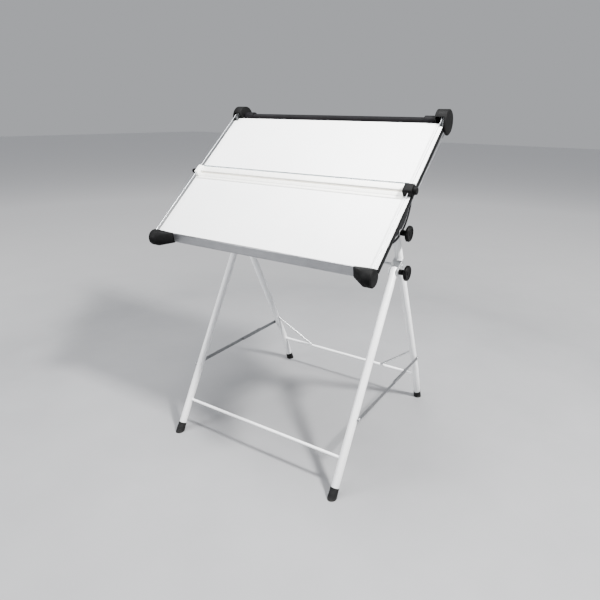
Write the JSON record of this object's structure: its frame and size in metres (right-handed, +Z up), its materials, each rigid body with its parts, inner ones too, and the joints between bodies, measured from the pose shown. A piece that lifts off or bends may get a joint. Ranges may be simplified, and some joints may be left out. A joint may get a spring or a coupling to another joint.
{
  "type": "drafting table",
  "caption": "Tilting A1 drawing board with wire-driven parallel straightedge on a folding white tubular A-frame stand with clamp knobs.",
  "frame": {"origin": "on the floor, midway between the four feet, at the middle of the bounding box", "axes": "+X to the user's right, +Y away from the user, +Z up"},
  "size_m": [0.986, 0.8884, 1.3268],
  "materials": {
    "white_paint": "satin",
    "zinc": "satin",
    "bolt_steel": "satin",
    "black_rubber": "matte",
    "black_plastic": "satin",
    "knob_plastic": "satin",
    "laminate": "satin",
    "edging": "satin",
    "satin_aluminium": "satin",
    "black_steel": "satin",
    "link_black": "satin",
    "wire_steel": "polished",
    "pulley_nylon": "satin",
    "edge_white": "gloss",
    "clear_blade": "clear acrylic"
  },
  "bodies": {
    "rear_frame": {"rear_leg_left": "white_paint", "rear_leg_right": "white_paint", "rear_bar": "white_paint", "rear_brace_left": "zinc", "rear_brace_right": "zinc", "tie_rod": "zinc", "fold_bracket_left": "zinc", "fold_bracket_right": "zinc", "rear_foot_left": "black_rubber", "rear_foot_right": "black_rubber", "rear_leg_caps": "black_plastic", "tilt_bolts": "bolt_steel", "clamp_bolts": "bolt_steel", "fold_bolts": "bolt_steel", "clamp_washers": "bolt_steel", "rear_stay_pins": "bolt_steel"},
    "front_frame": {"front_leg_left": "white_paint", "front_leg_right": "white_paint", "front_bar": "white_paint", "front_foot_left": "black_rubber", "front_foot_right": "black_rubber", "front_leg_caps": "black_plastic", "front_stay_pins": "bolt_steel"},
    "tilt_knob_left": {"tilt_knob_left": "knob_plastic"},
    "tilt_knob_right": {"tilt_knob_right": "knob_plastic"},
    "fold_knob_left": {"fold_knob_left": "knob_plastic"},
    "fold_knob_right": {"fold_knob_right": "knob_plastic"},
    "front_stay_left": {"front_stay_left": "zinc"},
    "front_stay_right": {"front_stay_right": "zinc"},
    "rear_stay_left": {"rear_stay_left": "zinc"},
    "rear_stay_right": {"rear_stay_right": "zinc"},
    "board": {"board_panel": "laminate", "front_trim": "satin_aluminium", "back_edging": "edging", "side_edging_left": "edging", "side_edging_right": "edging", "tilt_quadrant_left": "black_steel", "tilt_quadrant_right": "black_steel", "quadrant_screws": "bolt_steel", "top_housing_left": "black_plastic", "top_housing_right": "black_plastic", "low_housing_left": "black_plastic", "low_housing_right": "black_plastic", "housing_screws": "bolt_steel", "low_axles": "bolt_steel", "wire_left": "wire_steel", "wire_right": "wire_steel"},
    "link_shaft": {"link_tube": "link_black", "top_pulley_left": "pulley_nylon", "top_pulley_right": "pulley_nylon"},
    "low_pulley_left": {"low_pulley_left": "pulley_nylon"},
    "low_pulley_right": {"low_pulley_right": "pulley_nylon"},
    "straightedge": {"straightedge_bar": "edge_white", "upper_blade": "clear_blade", "lower_blade": "edge_white", "left_end_block": "edge_white", "brake_head": "black_plastic"},
    "brake_knob": {"brake_knob": "knob_plastic"},
    "square_knob": {"square_knob": "knob_plastic"}
  },
  "joints": [
    {"name": "fold", "type": "hinge", "parent": "rear_frame", "child": "front_frame", "pos_m": [0, 0.00219, 0.752], "axis": [1, 0, 0], "range_deg": [0, 50]},
    {"name": "board_tilt", "type": "hinge", "parent": "rear_frame", "child": "board", "pos_m": [0, -0.07667, 1.034], "axis": [1, 0, 0], "range_deg": [-40, 45]},
    {"name": "straightedge_slide", "type": "slide", "parent": "board", "child": "straightedge", "axis": [0, 0.766, 0.6428], "range_m": [-0.265, 0.245]},
    {"name": "link_shaft_spin", "type": "hinge", "parent": "board", "child": "link_shaft", "pos_m": [0, 0.16576, 1.28181], "axis": [1, 0, 0], "range_deg": [-434, 470]},
    {"name": "low_pulley_left_spin", "type": "hinge", "parent": "board", "child": "low_pulley_left", "pos_m": [-0.467, -0.38222, 0.83963], "axis": [1, 0, 0], "range_deg": [-735, 795]},
    {"name": "low_pulley_right_spin", "type": "hinge", "parent": "board", "child": "low_pulley_right", "pos_m": [0.467, -0.38222, 0.83963], "axis": [1, 0, 0], "range_deg": [-735, 795]},
    {"name": "brake_knob_turn", "type": "hinge", "parent": "straightedge", "child": "brake_knob", "pos_m": [0.48, -0.12578, 1.07386], "axis": [1, 0, 0], "range_deg": [0, 90]},
    {"name": "square_knob_turn", "type": "hinge", "parent": "straightedge", "child": "square_knob", "pos_m": [-0.471, -0.12885, 1.07129], "axis": [-1, 0, 0], "range_deg": [0, 360]},
    {"name": "front_stay_left_hinge", "type": "hinge", "parent": "front_frame", "child": "front_stay_left", "pos_m": [-0.4, -0.27787, 0.259], "axis": [1, 0, 0], "range_deg": [0, 24]},
    {"name": "rear_stay_left_hinge", "type": "hinge", "parent": "rear_frame", "child": "rear_stay_left", "pos_m": [-0.397, 0.31481, 0.259], "axis": [1, 0, 0], "range_deg": [-88, 0]},
    {"name": "tilt_knob_left_turn", "type": "hinge", "parent": "rear_frame", "child": "tilt_knob_left", "pos_m": [-0.41, -0.011, 0.904], "axis": [-1, 0, 0], "range_deg": [0, 540]},
    {"name": "fold_knob_left_turn", "type": "hinge", "parent": "rear_frame", "child": "fold_knob_left", "pos_m": [-0.41, 0.00219, 0.752], "axis": [-1, 0, 0], "range_deg": [0, 540]},
    {"name": "front_stay_right_hinge", "type": "hinge", "parent": "front_frame", "child": "front_stay_right", "pos_m": [0.4, -0.27787, 0.259], "axis": [1, 0, 0], "range_deg": [0, 24]},
    {"name": "rear_stay_right_hinge", "type": "hinge", "parent": "rear_frame", "child": "rear_stay_right", "pos_m": [0.397, 0.31481, 0.259], "axis": [1, 0, 0], "range_deg": [-88, 0]},
    {"name": "tilt_knob_right_turn", "type": "hinge", "parent": "rear_frame", "child": "tilt_knob_right", "pos_m": [0.41, -0.011, 0.904], "axis": [1, 0, 0], "range_deg": [0, 540]},
    {"name": "fold_knob_right_turn", "type": "hinge", "parent": "rear_frame", "child": "fold_knob_right", "pos_m": [0.41, 0.00219, 0.752], "axis": [1, 0, 0], "range_deg": [0, 540]}
  ],
  "couplings": [
    {"joint": "link_shaft_spin", "follows": "straightedge_slide", "rad_per_m": -30.303},
    {"joint": "low_pulley_left_spin", "follows": "straightedge_slide", "rad_per_m": -51.282},
    {"joint": "low_pulley_right_spin", "follows": "straightedge_slide", "rad_per_m": -51.282},
    {"joint": "front_stay_left_hinge", "follows": "fold", "ratio": 0.4473},
    {"joint": "rear_stay_left_hinge", "follows": "fold", "ratio": -1.727},
    {"joint": "front_stay_right_hinge", "follows": "fold", "ratio": 0.4473},
    {"joint": "rear_stay_right_hinge", "follows": "fold", "ratio": -1.727}
  ]
}
